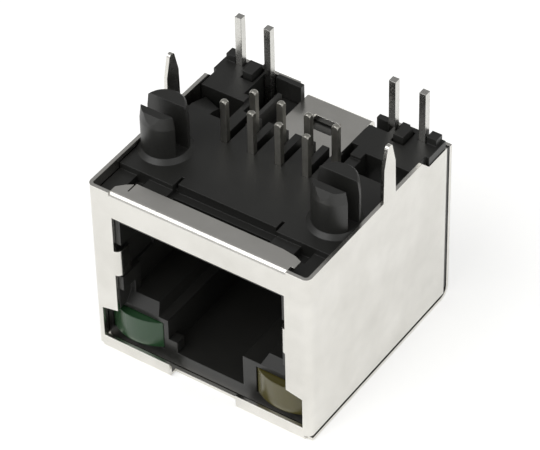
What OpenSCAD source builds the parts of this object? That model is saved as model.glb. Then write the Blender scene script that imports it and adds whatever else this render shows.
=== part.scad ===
// Shielded board jack for an eight-way modular plug, with two indicator lamps.
// It lies on its flat top with the solder tails up, as it is handed out of its tray.
// Depths (Y) below run back from the shield's front face, heights (Z) up from the
// resting face, and X is measured from the middle plane.

/* [Shield] */
// Overall width over the side plates
shield_w = 16.4; // [16:0.1:18]
// Overall depth, front plate to back panel
shield_d = 16.3; // [16:0.1:18]
// Height of the front plate and the side plates
shield_h = 13.8; // [13.4:0.1:14.8]
// Thickness of the sheet
sheet = 0.25; // [0.2:0.01:0.28]
// Outside radius of the bends round the front plate
bend_r = 0.45; // [0.35:0.05:0.6]
// Outside radius of the bend between front plate and top panel
low_bend_r = 0.3; // [0.28:0.02:0.5]
// Outside radius of the bend between top panel and back panel
rear_bend_r = 0.9; // [0.5:0.1:1.5]
// Open seam between a side plate and the top panel
seam = 0.22; // [0.1:0.02:0.4]
// Gap between a side plate's rear edge and the back panel
rear_gap = 0.34; // [0.3:0.02:0.5]
// Width of one solder tab
tab_w = 1.36; // [1:0.02:1.6]
// Height of a solder tab above the side plate
tab_len = 4.2; // [3:0.1:5]

/* [Port] */
// Width of the plug cavity
port_w = 12.1; // [11.9:0.05:12.3]
// Height of the plug cavity
port_h = 6.8; // [6.7:0.05:7]
// Depth of the plug cavity from the shield's front
port_d = 11.6; // [11.3:0.1:12]
// Height of the cavity's floor above the resting face
port_z = 4.56; // [4.4:0.02:4.8]
// Half width of the latch keyway
key_half = 2.55; // [2.4:0.05:2.8]
// Height of the keyway's floor
key_z = 1.36; // [1.2:0.02:1.45]

/* [Contacts] */
// Distance between neighbouring contacts
pitch = 1.02; // [1:0.01:1.1]
// Width of a contact
contact_w = 0.45; // [0.35:0.01:0.5]
// Thickness of a contact
contact_t = 0.38; // [0.3:0.01:0.45]
// Depth of the front row of solder tails
row_y = 8.37; // [8:0.05:9]
// Distance between the two rows of tails
row_gap = 1.76; // [1.6:0.02:1.9]
// Height of the tails above the housing
tail_len = 3.3; // [2.5:0.1:4]
// Slope of the spring beams in degrees
beam_slope = 18; // [15:0.5:19]

/* [Lamps] */
// Width of a lamp
lamp_w = 3.9; // [3.5:0.05:4]
// Height of a lamp
lamp_h = 2.1; // [1.8:0.05:2.2]
// Length of a lamp's body
lamp_d = 4.6; // [4:0.1:6]
// How far a lens bulges
lamp_bulge = 0.6; // [0.3:0.05:0.65]
// Distance from a lamp's centre to the shield's side face
lamp_side = 2.62; // [2.5:0.02:2.7]
// Side of a lead's square section
lead_s = 0.48; // [0.4:0.02:0.6]
// Distance between the two leads of a lamp
lead_pitch = 2.22; // [2:0.02:2.4]
// Distance from the leads' tails to the shield's back
lead_back = 1.31; // [1.2:0.01:1.4]
// Height of a lead above the shield's plates
lead_len = 3.66; // [3:0.1:4.5]

/* [Pegs] */
// Diameter of a locating peg
peg_d = 3.1; // [2.9:0.05:3.2]
// Distance between the two pegs
peg_spacing = 12.7; // [12.5:0.05:12.8]
// Depth of the pegs
peg_y = 5.83; // [5.7:0.05:6]
// Height of a peg above the housing
peg_len = 3.6; // [2.8:0.1:4]
// Width of the slot that splits a peg
peg_slot = 1.05; // [0.8:0.05:1.2]

/* [Fits] */
// Clearance between the housing and the shield
shell_fit = 0.05; // [0.02:0.01:0.08]
// Clearance beside a contact in its slot
slot_fit = 0.03; // [0.01:0.01:0.06]
// Clearance round a lamp and beside its leads
lamp_fit = 0.08; // [0.04:0.01:0.1]
// Clearance round the contact insert
insert_fit = 0.04; // [0.02:0.01:0.06]

/* [Hidden] */
$fn = 48;
over = 1;                      // how far a cut runs past the face it opens
lap = 0.06;                    // how far a slanted leg reaches into its bend

// Shield
half_w = shield_w / 2;
back_in = shield_d - sheet;                 // inner face of the back panel
side_end = back_in - rear_gap;              // rear edge of the side plates
side_z = sheet + seam;                      // lower edge of the side plates
ramp_y = shield_d - 3.55;                   // where a side plate's edge steps down
ramp_drop = 0.84;
back_h = shield_h - 0.95;                   // height of the back panel
face_top = shield_h - 2.02;                 // top of the front opening
face_half = port_w / 2 + 0.37;              // half width of the front opening
face_low = 1.11;                            // top of the strip under the lamps
flap_half = 6.55;                           // front flap, at its bend
ear_half = 6.82;
flap_len = 1.2;
rear_flap_half = 2.45;
rear_flap_z = shield_h - 1.49;              // upper face of the rear flap
finger_z = port_z + 2.35;                   // ground fingers beside the cavity
finger_h = 2.05;
finger_in = 0.4;                            // how far a finger reaches inwards
finger_len = 0.7;
window_lo = [-0.9, 13.35];                  // lanced window in the rear flap
window_hi = [1, 14.4];
lip_t = 0.2;

// Housing
body_half = half_w - sheet - shell_fit;
body_front = sheet + shell_fit;
body_end = shield_d - 0.7;
body_low = sheet + shell_fit;
deck_z = shield_h - 0.38;                   // board side of the housing
block_z = shield_h - 0.19;                  // rear blocks, over the deck
boss_z = block_z + 0.5;
block_x = 4.6;                              // inner side and front of the rear blocks
block_y = shield_d - 4.4;
wall_z = 3.86;                              // tops of the walls beside the lamps
recess_y = shield_d - 6.1;                  // front ends of the recesses ahead of the blocks
recess_d = 2.6;
bay_x = 3.3;                                // open bay over the insert
rear_wall = 0.4;
slot_x = -3.4;                              // inner side and depth of the left slot
slot_d = 3;
block_end = shield_d - 1.95;                // rear end of the blocks beside the bay
roof_z = port_z + port_h;
rib_end = port_d - 0.3;                     // rear ends of the comb's ribs
insert_top = rear_flap_z - sheet - 0.05;

// Contacts
run_z = roof_z + 0.3;                       // middle of the flat run
tail_bend = 0.6;
hairpin_r = 0.65;
hairpin_y = 2.55;
beam_end = port_d + 0.55;                   // free ends of the beams, in the comb
comb_d = 1;                                 // depth of the comb in the insert

// Lamps
lamp_x = half_w - lamp_side;
lamp_low = 1.31;
lamp_top = lamp_low + lamp_h;
lamp_mid = lamp_low + lamp_h / 2;
lamp_y = 1;                                 // edge of the lens's bulge
pocket_half = lamp_w / 2 + lamp_fit;
wall_front = 0.95;                          // front of the walls beside the lamps
lead_x = lamp_x + 0.23;                     // middle of a lamp's two leads
lead_in_x = lead_x - lead_pitch / 2;
lead_out_x = lead_x + lead_pitch / 2;
insert_half = lead_in_x - 0.5;              // half width of the contact insert
lead_y = shield_d - lead_back;
lead_bend = 0.7;

// A box between two corners
module block(lo, hi) translate(lo) cube(hi - lo);

// The same thing on both sides of the middle plane
module both_sides() {
    children();
    mirror([1, 0, 0]) children();
}

// A profile drawn in Y and Z, run along X from x0 to x1
module along_x(x0, x1) translate([x0, 0, 0]) rotate([90, 0, 90]) linear_extrude(x1 - x0) children();

// A profile drawn in X and Z, run along Y from y0 to y1
module along_y(y0, y1) translate([0, y1, 0]) rotate([90, 0, 0]) linear_extrude(y1 - y0) children();

// A straight stretch of strip between two points, started a little early inside a bend
module leg(p, q, t, early = 0) {
    d = q - p;
    translate(p) rotate(atan2(d.y, d.x)) translate([-early, -t / 2]) square([norm(d) + early, t]);
}

// A bend in a strip: r is the radius of its middle line, from angle a0 to a1
module bend(c, r, t, a0, a1) {
    steps = 4;
    translate(c) intersection() {
        difference() {
            circle(r + t / 2);
            circle(r - t / 2);
        }
        polygon(concat([[0, 0]], [for (i = [0 : steps])
            let (a = a0 + (a1 - a0) * i / steps) 2 * (r + t) * [cos(a), sin(a)]]));
    }
}

// Everything is laid out from the front face and then centred front to back
module placed() translate([0, -shield_d / 2, 0]) children();

// Plan of a wrapped plate: both front corners are rounded
module wrap_plan(w, d, r) {
    translate([-w / 2, r]) square([w, d - r]);
    translate([-w / 2 + r, 0]) square([w - 2 * r, d]);
    for (s = [-1, 1]) translate([s * (w / 2 - r), r]) circle(r);
}

// Outline of the opening in the front plate, with the lamp windows and the key slot
module face_opening() {
    window = lamp_x + pocket_half + 0.02;
    shoulder = lamp_top + 0.15;
    right = [[face_half, face_top], [face_half, shoulder + 0.26], [window, shoulder],
             [window, face_low], [key_half, face_low], [key_half, -over]];
    polygon(concat(right, [for (i = [len(right) - 1 : -1 : 0]) [-right[i].x, right[i].y]]));
}

// Outline of the folded-back front flap: short ears, chamfered back corners and,
// on the left, a relief slit beside the ear
module flap_outline() {
    neck = 0.15;
    ear = 0.86;
    chamfer = [1.5, 0.14];
    slit = [-5.65, -5.55];
    slit_y = 0.35;
    polygon([[flap_half, 0], [flap_half, neck], [ear_half, neck], [ear_half, ear],
        [ear_half - chamfer.x / 3, flap_len - chamfer.y], [ear_half - chamfer.x, flap_len],
        [slit[1], flap_len], [slit[1], slit_y], [slit[0], slit_y], [slit[0], flap_len - chamfer.y],
        [-ear_half + chamfer.x / 2, flap_len - 3 * chamfer.y], [-flap_half, neck + chamfer.y], [-flap_half, 0]]);
}

// One solder tab, drawn from the side plate's edge up
module tab_outline() {
    tip_r = 0.28;
    neck = 0.3;
    shaft = tab_len * 0.62;
    polygon([[-tab_w / 2, -neck], [tab_w / 2, -neck], [tab_w / 2, 0.2], [tab_w / 2 - 0.06, shaft],
             [tip_r, tab_len - tip_r], [-tip_r, tab_len - tip_r], [-tab_w / 2 + 0.06, shaft], [-tab_w / 2, 0.2]]);
    translate([0, tab_len - tip_r]) circle(tip_r);
}

// A ground finger curled from the edge of the opening back into the cavity
module finger() {
    tip = face_half - finger_in;
    translate([0, 0, finger_z]) linear_extrude(finger_h) {
        translate([tip + bend_r, 0]) square([finger_in - bend_r + sheet, sheet]);
        bend([tip + bend_r, bend_r], bend_r - sheet / 2, sheet, 180, 270);
        translate([tip, bend_r]) square([sheet, finger_len]);
    }
}

// The front and side plates, with their cut-outs and tabs
module shield_wrap() {
    tab_y = row_y + 0.66;
    difference() {
        union() {
            translate([0, 0, side_z]) linear_extrude(shield_h - bend_r - side_z) wrap_section();
            // above the top bend's spring line only the sides and corners go on
            translate([0, 0, shield_h - bend_r]) linear_extrude(bend_r) difference() {
                wrap_section();
                translate([-flap_half, -over]) square([2 * flap_half, over + bend_r]);
            }
        }
        along_x(-half_w - over, half_w + over) polygon([
            [ramp_y, shield_h + over], [ramp_y, shield_h], [ramp_y + ramp_drop, shield_h - ramp_drop],
            [shield_d + over, shield_h - ramp_drop], [shield_d + over, shield_h + over]]);
    }
    both_sides() along_x(half_w - sheet, half_w) translate([tab_y, shield_h]) tab_outline();
}

module wrap_section() difference() {
    wrap_plan(shield_w, side_end, bend_r);
    translate([0, sheet]) wrap_plan(shield_w - 2 * sheet, shield_d, bend_r - sheet);
}

// Front plate's lower bend, top panel, back panel and its folded-in flap
module shield_spine() {
    mid = sheet / 2;
    front_half = half_w - bend_r;
    along_x(-front_half, front_half) {
        translate([0, low_bend_r]) square([sheet, side_z - low_bend_r + sheet]);
        bend([low_bend_r, low_bend_r], low_bend_r - mid, sheet, 180, 270);
    }
    along_x(-half_w, half_w) {
        translate([low_bend_r, 0]) square([shield_d - rear_bend_r - low_bend_r, sheet]);
        bend([shield_d - rear_bend_r, rear_bend_r], rear_bend_r - mid, sheet, 270, 360);
    }
    rear_plate();
    along_x(-rear_flap_half, rear_flap_half) {
        bend([shield_d - bend_r, rear_flap_z - bend_r], bend_r - mid, sheet, 0, 90);
        translate([rib_end + 0.3, rear_flap_z - sheet]) square([shield_d - bend_r - rib_end - 0.3, sheet]);
    }
}

// Back panel: lower at the flap, with a relief notch on each side of it
module rear_plate() {
    notch = 0.7;
    notch_z = rear_flap_z - 0.85;
    difference() {
        block([-half_w, back_in, rear_bend_r], [half_w, shield_d, back_h]);
        block([-rear_flap_half, back_in - over, rear_flap_z - bend_r],
              [rear_flap_half, shield_d + over, back_h + over]);
        both_sides() block([rear_flap_half, back_in - over, notch_z],
                           [rear_flap_half + notch, shield_d + over, back_h + over]);
    }
}

// The bend and the flap along the front plate's board-side edge
module front_flap() {
    r = bend_r - sheet / 2;
    along_x(-flap_half, flap_half) bend([bend_r, shield_h - bend_r], r, sheet, 90, 180);
    translate([0, bend_r, shield_h - sheet]) linear_extrude(sheet) flap_outline();
}

// A lanced window in the rear flap with an upturned lip along its far edge
module flap_window() {
    block([window_lo.x, window_lo.y, rear_flap_z - sheet - over], [window_hi.x, window_hi.y, rear_flap_z + over]);
}

module flap_lip() {
    block([window_lo.x, window_hi.y, rear_flap_z - sheet], [window_hi.x, window_hi.y + lip_t, rear_flap_z + lip_t]);
}

module shield() color("#d4d3ce") placed() {
    difference() {
        union() {
            shield_wrap();
            shield_spine();
            front_flap();
        }
        along_y(-over, sheet + 0.02) face_opening();
        block([-key_half, -over, -over], [key_half, bend_r + 0.2, face_low]);
        flap_window();
    }
    flap_lip();
    both_sides() finger();
}

// A locating peg with a round foot, split by a slot ahead of its middle. Its rear half
// tapers to the rim, and its front half is cut back to a slanted face.
module peg() {
    slot_mid = -0.22;
    foot = 0.3;
    straight = peg_len - 1.05;
    tip_r = peg_d / 2 - 0.12;
    chamfer = 0.12;
    front_drop = 0.15;
    front_cut = [0.25, 0.7];
    difference() {
        rotate_extrude() polygon([[0, -0.1], [peg_d / 2 + foot, -0.1], [peg_d / 2 + foot, 0], [peg_d / 2, foot],
            [peg_d / 2, straight], [tip_r, peg_len - chamfer], [tip_r - chamfer, peg_len], [0, peg_len]]);
        translate([-peg_d, slot_mid - peg_slot / 2, foot]) cube([2 * peg_d, peg_slot, peg_len]);
        along_x(-peg_d, peg_d) polygon([[slot_mid, peg_len + over], [slot_mid, peg_len - front_drop],
            [-peg_d / 2 + front_cut.x, peg_len - front_drop], [-peg_d / 2, peg_len - front_drop - front_cut.y],
            [-peg_d, peg_len - front_drop - front_cut.y], [-peg_d, peg_len + over]]);
    }
}

// A square standoff that the board rests on, given by its centre and size
module boss(at, size) {
    root = 0.4;
    translate([at.x - size.x / 2, at.y - size.y / 2, block_z - root]) cube([size.x, size.y, boss_z - block_z + root]);
}

// The housing's outer form before anything is cut out of it
module body_blank() {
    ear_half_w = half_w - shell_fit;
    ear_low = shield_h - ramp_drop + shell_fit;
    rib_back = back_in - shell_fit;
    intersection() {
        along_x(-body_half, body_half) polygon([[body_front + bend_r, body_low], [body_end, body_low],
            [body_end, deck_z], [body_front, deck_z], [body_front, body_low + bend_r]]);
        translate([0, body_front, 0]) linear_extrude(deck_z + over)
            wrap_plan(2 * body_half, body_end - body_front, bend_r);
    }
    both_sides() {
        block([block_x, block_y, deck_z - over], [body_half, body_end, block_z]);
        // a rib closes the gap between side plate and back panel
        block([body_half - 0.6, body_end - over, rear_bend_r], [body_half, rib_back, back_h]);
        block([body_half - over, side_end + shell_fit, rear_bend_r], [half_w - shell_fit, rib_back, back_h]);
        // the ear lies over the lowered edge of the side plate
        along_y(ramp_y + ramp_drop + shell_fit, body_end) polygon([[body_half - over, ear_low], [ear_half_w, ear_low],
            [ear_half_w, block_z], [body_half - over, block_z]]);
    }
    block([bay_x, rib_end, deck_z - over], [block_x + over, body_end, block_z]);
}

// The plug cavity, the latch keyway under it and the lead-in slopes over the lamps
module port_cut() {
    relief_y = 2.1;
    relief = 0.3;
    finger_room = 0.45;
    finger_end = 4;
    ledge_x = 3.2;
    ledge_z = 2.26;
    ledge_d = 0.8;
    slope_x = 3.9;
    slope_end = 4.2;
    slope_d = 0.55;
    block([-port_w / 2, -over, port_z], [port_w / 2, port_d, roof_z]);
    block([-port_w / 2 - relief, relief_y, port_z], [port_w / 2 + relief, port_d, roof_z]);
    both_sides() block([0, -over, finger_z - finger_room / 2],
        [port_w / 2 + finger_room, finger_end, finger_z + finger_h + finger_room]);
    // keyway: a low ledge stands beside it on the left, a full wall on the right
    along_y(-over, port_d) polygon([[-slope_end, port_z + over], [-slope_end, port_z], [-slope_x, wall_z],
        [-ledge_x, wall_z], [-ledge_x, ledge_z], [-key_half, ledge_z], [-key_half, key_z], [key_half, key_z],
        [key_half, wall_z], [slope_x, wall_z], [slope_end, port_z], [slope_end, port_z + over]]);
    block([-ledge_x, wall_front + ledge_d, key_z], [0, port_d, wall_z]);
    block([-key_half, 0, 0], [key_half, body_front + 0.6, key_z - 0.45]);
    // front of the lamp walls and the slopes that lead the plug in
    block([-body_half - over, 0, 0], [body_half + over, wall_front, wall_z]);
    both_sides() along_x(0, face_half) polygon([[0, wall_z], [wall_front, wall_z],
        [wall_front + slope_d, port_z], [wall_front + slope_d, port_z + over], [0, port_z + over]]);
}

// Pocket for a lamp and the channels for its two leads
module lamp_cut() {
    pocket_end = lamp_y + lamp_d;
    translate([lamp_x, 0, 0])
        block([-pocket_half, 0, lamp_low - lamp_fit], [pocket_half, pocket_end, lamp_top + lamp_fit]);
    for (side = [-1, 1]) {
        x = lead_x + side * lead_pitch / 2;
        room = lead_s / 2 + lamp_fit;
        block([x - room, pocket_end - over, lamp_mid - room], [x + room, body_end + over, lamp_mid + room]);
        block([x - room, lead_y - lead_s / 2, lamp_mid - room], [x + room, body_end + over, block_z + over]);
        block([x - room, lead_y - lead_bend, lamp_mid], [x + room, lead_y, lamp_mid + lead_bend]);
    }
}

// Grooves and slots of the comb: each contact slides in from behind
module contact_cut(i) {
    x = contact_x(i);
    room = contact_w / 2 + slot_fit;
    back = tail_y(i) + contact_t / 2;
    low = roof_z - 0.2;
    block([x - room, hairpin_y - hairpin_r - contact_t, low], [x + room, back, run_z + contact_t / 2]);
    block([x - room, tail_y(i) - contact_t / 2, low], [x + room, rib_end + over, deck_z + over]);
    block([x - room, tail_y(i) - tail_bend - contact_t / 2, low], [x + room, back, run_z + tail_bend]);
}

// Steps and recesses on the board side
module deck_cut() {
    centre_half = 3.85;
    step_y = 3.35;
    outer_y = 3.05;
    shelf_d = 0.36;
    ledge_y = 2.8;
    ledge_d = 0.7;
    moat_half = 3.6;
    moat_d = 1.3;
    corner_x = 5.65;
    corner_d = 0.46;
    pocket = [6.6, 2, 0.96];
    notch = [0.2, 0.7, 0.5];
    top = block_z + over;
    // front: a step down under the flap, deeper in front of the middle ledge
    block([-body_half - over, 0, deck_z - shelf_d], [body_half + over, outer_y, top]);
    block([-centre_half, 0, deck_z - ledge_d], [centre_half, step_y, top]);
    block([-moat_half, 0, deck_z - moat_d], [moat_half, ledge_y, top]);
    both_sides() {
        block([corner_x, 0, deck_z - corner_d], [body_half + over, outer_y, top]);
        block([corner_x, pocket.y, deck_z - pocket.z], [pocket.x, outer_y, top]);
        translate([centre_half, step_y, deck_z]) block([-notch.x, -over, -notch.z], [0, notch.y, over]);
    }
    recess_cut();
    // open bay between the rear blocks, over the insert
    block([-insert_half - insert_fit, rib_end, insert_top - insert_fit], [bay_x, body_end - rear_wall, top]);
    block([-rear_flap_half, rib_end, insert_top - insert_fit], [bay_x, body_end + over, top]);
    // the blocks drop away behind, and a slot leads to the green lamp's inner lead
    block([bay_x - over, block_end, deck_z - 1.2], [lead_in_x, body_end - rear_wall, top]);
    block([-lead_in_x - 0.36, shield_d - 3.7, deck_z - slot_d], [slot_x, lead_y + lead_s / 2, top]);
}

// Recesses ahead of the rear blocks; a ramp with a slanted end stands in the left one
module recess_cut() {
    ramp_x = [-7.45, -5.85];
    ramp_drop = 0.55;
    ramp_long = 1.5;
    ramp_short = 0.7;
    top = block_z + over;
    block([block_x, recess_y, deck_z - recess_d], [body_half + over, block_y, top]);
    difference() {
        block([-body_half - over, recess_y - 0.3, deck_z - recess_d], [-block_x, block_y, top]);
        intersection() {
            along_x(ramp_x[0], ramp_x[1]) polygon([[recess_y - over, deck_z], [recess_y, deck_z],
                [recess_y + ramp_long, deck_z - ramp_drop], [recess_y + ramp_long, 0], [recess_y - over, 0]]);
            linear_extrude(deck_z) polygon([[ramp_x[0], recess_y - over], [ramp_x[1], recess_y - over],
                [ramp_x[1], recess_y + ramp_short], [ramp_x[0], recess_y + ramp_long]]);
        }
    }
}

// A moat round a standoff
module boss_moat(at, size) {
    width = 0.12;
    depth = 0.3;
    block([at.x - size.x / 2 - width, at.y - size.y / 2 - width, block_z - depth],
          [at.x + size.x / 2 + width, at.y + size.y / 2 + width, block_z + over]);
}

module housing() color("#333330") placed() {
    inner = [half_w - 2.5, shield_d - 1.8];
    inner_size = [0.72, 1.2];
    outer = [half_w - 0.6, shield_d - 1.15];
    outer_size = [0.7, 0.7];
    tooth = [5.02, 5.55];
    difference() {
        body_blank();
        port_cut();
        both_sides() lamp_cut();
        for (i = [1 : 8]) contact_cut(i);
        deck_cut();
        block([-insert_half - insert_fit, port_d - over, key_z], [insert_half + insert_fit, body_end + over, insert_top]);
        both_sides() boss_moat(inner, inner_size);
    }
    // thin rib between the bay and the slot of the green lamp's inner lead
    block([slot_x, rib_end - over, insert_top], [slot_x + 0.3, shield_d - 2.3, deck_z]);
    both_sides() {
        boss(inner, inner_size);
        boss(outer, outer_size);
        block([tooth[0], body_end - rear_wall, block_z - over], [tooth[1], body_end, block_z + 0.12]);
        intersection() {
            translate([peg_spacing / 2, peg_y, deck_z]) peg();
            block([0, 0, deck_z - over], [body_half, body_end, boss_z + peg_len]);
        }
    }
}

// The insert closes the cavity's back, and its comb guides the free ends of the beams
module contact_insert() color("#2a2a28") placed() {
    comb_lo = port_z + 0.5;
    comb_hi = roof_z - 0.4;
    difference() {
        block([-insert_half, port_d, key_z + insert_fit], [insert_half, body_end - rear_wall / 2, insert_top - 2 * insert_fit]);
        for (i = [1 : 8]) translate([contact_x(i), port_d, 0])
            block([-contact_w / 2 - slot_fit, -over, comb_lo], [contact_w / 2 + slot_fit, comb_d, comb_hi]);
    }
}

// Contacts are numbered from -X; even ones have their tails in the rear row
function contact_x(i) = (i - 4.5) * pitch;
function tail_y(i) = row_y + (i % 2 == 1 ? 0 : row_gap);

// One contact: domed tail, flat run, hairpin and a spring beam sloping into the cavity
module contact(i) color("#c8c6bd") placed() translate([contact_x(i) - contact_w / 2, 0, 0]) {
    y = tail_y(i);
    b = beam_slope;
    centre = [hairpin_y, run_z - hairpin_r];
    low = centre + hairpin_r * [cos(270 - b), sin(270 - b)];
    tip_z = deck_z + tail_len;
    dome = 0.3;
    along_x(0, contact_w) {
        leg([y, run_z + tail_bend], [y, tip_z - dome], contact_t);
        bend([y - tail_bend, run_z + tail_bend], tail_bend, contact_t, 270, 360);
        leg([hairpin_y, run_z], [y - tail_bend, run_z], contact_t);
        bend(centre, hairpin_r, contact_t, 90, 270 - b);
        leg(low, low + (beam_end - low.x) * [1, -tan(b)], contact_t, lap);
    }
    intersection() {
        block([0, y - contact_t / 2, tip_z - dome], [contact_w, y + contact_t / 2, tip_z]);
        translate([contact_w / 2, y, tip_z - dome]) sphere(dome);
    }
}

// A lamp: a block of tinted resin with a lens bulging forward across its width
module lamp() {
    r = (pow(lamp_w / 2, 2) + pow(lamp_bulge, 2)) / (2 * lamp_bulge);
    difference() {
        translate([0, 0, lamp_low]) linear_extrude(lamp_h) {
            translate([-lamp_w / 2, lamp_y]) square([lamp_w, lamp_d]);
            intersection() {
                translate([0, lamp_y - lamp_bulge + r]) circle(r, $fn = 96);
                translate([-lamp_w / 2, lamp_y - lamp_bulge]) square([lamp_w, lamp_bulge]);
            }
        }
        for (side = [-1, 1]) translate([lead_x - lamp_x + side * lead_pitch / 2, 0, 0])
            block([-lead_s / 2, lamp_y + lamp_d / 2, lamp_mid - lead_s / 2],
                  [lead_s / 2, lamp_y + lamp_d + over, lamp_mid + lead_s / 2]);
    }
}

module lamp_green() color("#2f5233") placed() mirror([1, 0, 0]) translate([lamp_x, 0, 0]) lamp();
module lamp_yellow() color("#5a5230") placed() translate([lamp_x, 0, 0]) lamp();

// One lead: from inside the lamp back through its channel, then up to the board
module lead(x) color("#c9c9c4") placed() translate([x - lead_s / 2, 0, 0]) along_x(0, lead_s) {
    leg([lamp_y + lamp_d / 2, lamp_mid], [lead_y - lead_bend, lamp_mid], lead_s);
    bend([lead_y - lead_bend, lamp_mid + lead_bend], lead_bend, lead_s, 270, 360);
    leg([lead_y, lamp_mid + lead_bend], [lead_y, shield_h + lead_len], lead_s);
}

shield();
housing();
contact_insert();
contact(1);  // contact_1
contact(2);  // contact_2
contact(3);  // contact_3
contact(4);  // contact_4
contact(5);  // contact_5
contact(6);  // contact_6
contact(7);  // contact_7
contact(8);  // contact_8
lamp_green();
lamp_yellow();
lead(-lead_out_x);  // lamp_green_outer_lead
lead(-lead_in_x);  // lamp_green_inner_lead
lead(lead_in_x);  // lamp_yellow_inner_lead
lead(lead_out_x);  // lamp_yellow_outer_lead
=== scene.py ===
"""Looks of the shielded board jack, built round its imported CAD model."""
import math

import bpy
from mathutils import Matrix, Vector

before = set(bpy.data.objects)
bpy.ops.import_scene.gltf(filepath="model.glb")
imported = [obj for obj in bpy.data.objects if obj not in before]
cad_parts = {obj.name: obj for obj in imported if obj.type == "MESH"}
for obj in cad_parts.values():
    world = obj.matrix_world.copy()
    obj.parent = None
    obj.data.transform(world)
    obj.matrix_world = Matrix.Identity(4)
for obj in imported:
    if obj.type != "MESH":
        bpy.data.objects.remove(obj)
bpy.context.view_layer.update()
scene = bpy.context.scene
MM = 0.001

# Roundings that the materials give to edges, in mm
SHEET_EDGE = 0.04
MOULDED_EDGE = 0.07
WIRE_EDGE = 0.05
LAMP_EDGE = 0.12

# Sizes of the surface patterns, in mm
PLATING_CLOUD = 3.5
ROLLING_GRAIN = 0.06
NYLON_CLOUD = 2.5
SPARK_GRIT = 0.08
TIN_CLOUD = 0.5
RELIEF = 0.01

# Brightness of the studio: world in front and on the far side, and the floor's own glow
FRONT_LEVEL = 0.6
FAR_LEVEL = 0.33
FLOOR_GLOW = 0.5
FAR_SIDE = (-0.43, 0.61, 0.67)

# Camera: direction in degrees, then millimetres
CAMERA_AZIMUTH, CAMERA_ELEVATION, CAMERA_ROLL = 35.06, 42.19, -1.41
CAMERA_DISTANCE = 198.08
AIM = (0, -0.65, 7.96)
AIM_RIGHT, AIM_UP = 0.215, 0.523
SENSOR, LENS = 36, 209.02


# ---------------------------------------------------------------- colours and nodes

def srgb(text):
    """A hex colour as written on screen, turned to linear light."""
    levels = [int(text[i:i + 2], 16) / 255 for i in (1, 3, 5)]
    return tuple(v / 12.92 if v <= 0.04045 else ((v + 0.055) / 1.055) ** 2.4 for v in levels) + (1,)


def add_node(tree, kind, links=None, **settings):
    """Adds a node. Settings are attributes, or a socket's value where the node has no such attribute;
    links maps an input's name or number to the output that feeds it."""
    node = tree.nodes.new(kind)
    for name, value in settings.items():
        if hasattr(node, name):
            setattr(node, name, value)
        else:
            node.inputs[name.replace("_", " ")].default_value = value
    for name, output in (links or {}).items():
        tree.links.new(output, node.inputs[name])
    return node


def new_material(name):
    material = bpy.data.materials.new(name)
    material.use_nodes = True
    tree = material.node_tree
    tree.nodes.clear()
    place = add_node(tree, "ShaderNodeTexCoord").outputs["Object"]
    surface = add_node(tree, "ShaderNodeBsdfPrincipled")
    add_node(tree, "ShaderNodeOutputMaterial", {"Surface": surface.outputs[0]})
    return material, tree, place, surface


def cells(size_mm):
    """Texture scale for features of this size, since Object coordinates are in metres."""
    return 1 / (size_mm * MM)


def put_on(material, *names):
    for name in names:
        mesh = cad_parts[name].data
        mesh.materials.clear()
        mesh.materials.append(material)


# ---------------------------------------------------------------- materials

def nickel_sheet():
    """Nickel-plated brass sheet, rolled and folded: satin, with faint rolling grain and soft clouding."""
    m, tree, place, surface = new_material("nickel plated sheet")
    surface.inputs["Metallic"].default_value = 1.0
    cloud = add_node(tree, "ShaderNodeTexNoise", {"Vector": place}, Scale=cells(PLATING_CLOUD),
                     Detail=4.0, Roughness=0.6)
    tint = add_node(tree, "ShaderNodeValToRGB", {"Fac": cloud.outputs["Fac"]})
    tint.color_ramp.elements[0].position = 0.3
    tint.color_ramp.elements[0].color = srgb("#d2d0ca")
    tint.color_ramp.elements[1].position = 0.75
    tint.color_ramp.elements[1].color = srgb("#e2e0db")
    tree.links.new(tint.outputs["Color"], surface.inputs["Base Color"])
    grain_place = add_node(tree, "ShaderNodeMapping", {"Vector": place}, Scale=(0.12, 0.12, 1.0))
    grain = add_node(tree, "ShaderNodeTexNoise", {"Vector": grain_place.outputs[0]}, Scale=cells(ROLLING_GRAIN),
                     Detail=3.0)
    level = add_node(tree, "ShaderNodeMapRange", {"Value": cloud.outputs["Fac"]}, To_Min=0.2, To_Max=0.28)
    tree.links.new(level.outputs[0], surface.inputs["Roughness"])
    round_edge = add_node(tree, "ShaderNodeBevel", samples=6, Radius=SHEET_EDGE * MM)
    bump = add_node(tree, "ShaderNodeBump", {"Height": grain.outputs["Fac"], "Normal": round_edge.outputs[0]},
                    Strength=0.08, Distance=RELIEF * MM)
    tree.links.new(bump.outputs[0], surface.inputs["Normal"])
    return m


def black_resin():
    """Glass-filled black nylon, moulded: semi-gloss with a fine spark-eroded grain."""
    m, tree, place, surface = new_material("black moulded nylon")
    surface.inputs["IOR"].default_value = 1.53
    cloud = add_node(tree, "ShaderNodeTexNoise", {"Vector": place}, Scale=cells(NYLON_CLOUD), Detail=3.0)
    tint = add_node(tree, "ShaderNodeValToRGB", {"Fac": cloud.outputs["Fac"]})
    tint.color_ramp.elements[0].color = srgb("#1c1c1a")
    tint.color_ramp.elements[1].color = srgb("#2a2a28")
    tree.links.new(tint.outputs["Color"], surface.inputs["Base Color"])
    grit = add_node(tree, "ShaderNodeTexNoise", {"Vector": place}, Scale=cells(SPARK_GRIT), Detail=3.0)
    level = add_node(tree, "ShaderNodeMapRange", {"Value": grit.outputs["Fac"]}, To_Min=0.32, To_Max=0.5)
    tree.links.new(level.outputs[0], surface.inputs["Roughness"])
    round_edge = add_node(tree, "ShaderNodeBevel", samples=6, Radius=MOULDED_EDGE * MM)
    bump = add_node(tree, "ShaderNodeBump", {"Height": grit.outputs["Fac"], "Normal": round_edge.outputs[0]},
                    Strength=0.15, Distance=RELIEF * MM)
    tree.links.new(bump.outputs[0], surface.inputs["Normal"])
    return m


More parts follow.
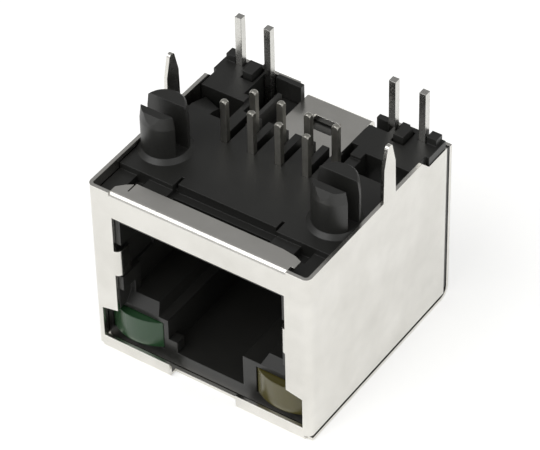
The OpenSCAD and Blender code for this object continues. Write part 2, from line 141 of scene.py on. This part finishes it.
def tinned_wire(name, low, high, roughness):
    """Copper alloy with electroplated tin: soft grey sheen with small clouds of tone."""
    m, tree, place, surface = new_material(name)
    surface.inputs["Metallic"].default_value = 1.0
    cloud = add_node(tree, "ShaderNodeTexNoise", {"Vector": place}, Scale=cells(TIN_CLOUD), Detail=4.0)
    tint = add_node(tree, "ShaderNodeValToRGB", {"Fac": cloud.outputs["Fac"]})
    tint.color_ramp.elements[0].color = srgb(low)
    tint.color_ramp.elements[1].color = srgb(high)
    tree.links.new(tint.outputs["Color"], surface.inputs["Base Color"])
    level = add_node(tree, "ShaderNodeMapRange", {"Value": cloud.outputs["Fac"]},
                     To_Min=roughness - 0.06, To_Max=roughness + 0.08)
    tree.links.new(level.outputs[0], surface.inputs["Roughness"])
    round_edge = add_node(tree, "ShaderNodeBevel", samples=6, Radius=WIRE_EDGE * MM)
    tree.links.new(round_edge.outputs[0], surface.inputs["Normal"])
    return m


def lamp_resin(name, colour):
    """Tinted diffused epoxy: cloudy, with a clear gloss skin."""
    m, tree, place, surface = new_material(name)
    surface.inputs["IOR"].default_value = 1.52
    surface.inputs["Roughness"].default_value = 0.22
    surface.inputs["Base Color"].default_value = srgb(colour)
    round_edge = add_node(tree, "ShaderNodeBevel", samples=6, Radius=LAMP_EDGE * MM)
    tree.links.new(round_edge.outputs[0], surface.inputs["Normal"])
    return m


put_on(nickel_sheet(), "shield")
put_on(black_resin(), "housing", "contact_insert")
put_on(tinned_wire("tinned contact strip", "#a19f98", "#c4c2ba", 0.33), *[f"contact_{i}" for i in range(1, 9)])
put_on(tinned_wire("bright tinned lead", "#c2c1bc", "#dddcd8", 0.26), "lamp_green_outer_lead",
       "lamp_green_inner_lead", "lamp_yellow_inner_lead", "lamp_yellow_outer_lead")
put_on(lamp_resin("green diffused epoxy", "#27482c"), "lamp_green")
put_on(lamp_resin("yellow diffused epoxy", "#565028"), "lamp_yellow")


# ---------------------------------------------------------------- floor, light and camera

def lit_floor():
    """White paper sweep that stays white where nothing shades it."""
    m = bpy.data.materials.new("white paper")
    m.use_nodes = True
    tree = m.node_tree
    tree.nodes.clear()
    paper = add_node(tree, "ShaderNodeBsdfDiffuse", Color=srgb("#f4f4f2"))
    glow = add_node(tree, "ShaderNodeEmission", Color=(1, 1, 1, 1), Strength=FLOOR_GLOW)
    path = add_node(tree, "ShaderNodeLightPath")
    seen = add_node(tree, "ShaderNodeMath", {0: path.outputs["Is Camera Ray"], 1: path.outputs["Is Glossy Ray"]},
                    operation="MAXIMUM")
    seen = add_node(tree, "ShaderNodeMath", {0: seen.outputs[0], 1: path.outputs["Is Transmission Ray"]},
                    operation="MAXIMUM")
    both = add_node(tree, "ShaderNodeAddShader", {0: paper.outputs[0], 1: glow.outputs[0]})
    mixed = add_node(tree, "ShaderNodeMixShader", {0: seen.outputs[0], 1: paper.outputs[0], 2: both.outputs[0]})
    add_node(tree, "ShaderNodeOutputMaterial", {"Surface": mixed.outputs[0]})
    return m


bpy.ops.object.select_all(action="DESELECT")
bpy.ops.mesh.primitive_plane_add(size=3.0)
floor = bpy.context.object
floor.name = "floor"
floor.data.materials.append(lit_floor())

world = bpy.data.worlds.new("studio")
scene.world = world
world.use_nodes = True
tree = world.node_tree
tree.nodes.clear()
path = add_node(tree, "ShaderNodeLightPath")
seen = add_node(tree, "ShaderNodeMath", {0: path.outputs["Is Camera Ray"], 1: path.outputs["Is Transmission Ray"]},
                operation="MAXIMUM")
# the studio is bright in front and low down, and dark above and behind
direction = add_node(tree, "ShaderNodeTexCoord").outputs["Generated"]
far_side = add_node(tree, "ShaderNodeVectorMath", {0: direction}, operation="DOT_PRODUCT")
far_side.inputs[1].default_value = FAR_SIDE
level = add_node(tree, "ShaderNodeMapRange", {"Value": far_side.outputs["Value"]}, interpolation_type="SMOOTHSTEP")
for name, value in (("From Min", -0.3), ("From Max", 0.8), ("To Min", FRONT_LEVEL), ("To Max", FAR_LEVEL)):
    level.inputs[name].default_value = value
room = add_node(tree, "ShaderNodeBackground", {"Strength": level.outputs[0]}, Color=srgb("#ffffff"))
white = add_node(tree, "ShaderNodeBackground", Color=(1, 1, 1, 1), Strength=1.0)
mixed = add_node(tree, "ShaderNodeMixShader", {0: seen.outputs[0], 1: room.outputs[0], 2: white.outputs[0]})
add_node(tree, "ShaderNodeOutputWorld", {"Surface": mixed.outputs[0]})


def softbox(name, azimuth, elevation, distance, size, power):
    """An area lamp that looks at the object from this side."""
    lamp = bpy.data.lights.new(name, "AREA")
    lamp.shape = "SQUARE"
    lamp.size = size
    lamp.energy = power
    box = bpy.data.objects.new(name, lamp)
    scene.collection.objects.link(box)
    a, e = math.radians(azimuth), math.radians(elevation)
    away = Vector((math.sin(a) * math.cos(e), -math.cos(a) * math.cos(e), math.sin(e)))
    box.location = away * distance
    box.rotation_euler = away.to_track_quat("Z", "Y").to_euler()


softbox("key", -25, 50, 0.5, 0.35, 0.9)
softbox("fill", 80, 35, 0.5, 0.35, 0.2)

camera_data = bpy.data.cameras.new("camera")
camera = bpy.data.objects.new("camera", camera_data)
scene.collection.objects.link(camera)
azimuth, elevation, roll = (math.radians(v) for v in (CAMERA_AZIMUTH, CAMERA_ELEVATION, CAMERA_ROLL))
back = Vector((math.sin(azimuth) * math.cos(elevation),
               -math.cos(azimuth) * math.cos(elevation),
               math.sin(elevation)))
sideways = Vector((math.cos(azimuth), math.sin(azimuth), 0))
upward = back.cross(sideways)
right = math.cos(roll) * sideways + math.sin(roll) * upward
up = math.cos(roll) * upward - math.sin(roll) * sideways
target = Vector(AIM) + AIM_RIGHT * right + AIM_UP * up
place = (target + CAMERA_DISTANCE * back) * MM
camera.matrix_world = Matrix(((right.x, up.x, back.x, place.x), (right.y, up.y, back.y, place.y),
                              (right.z, up.z, back.z, place.z), (0, 0, 0, 1)))
camera_data.sensor_width = SENSOR
camera_data.lens = LENS
camera_data.clip_start = 0.01
camera_data.clip_end = 10
scene.camera = camera
scene.view_settings.view_transform = "Standard"
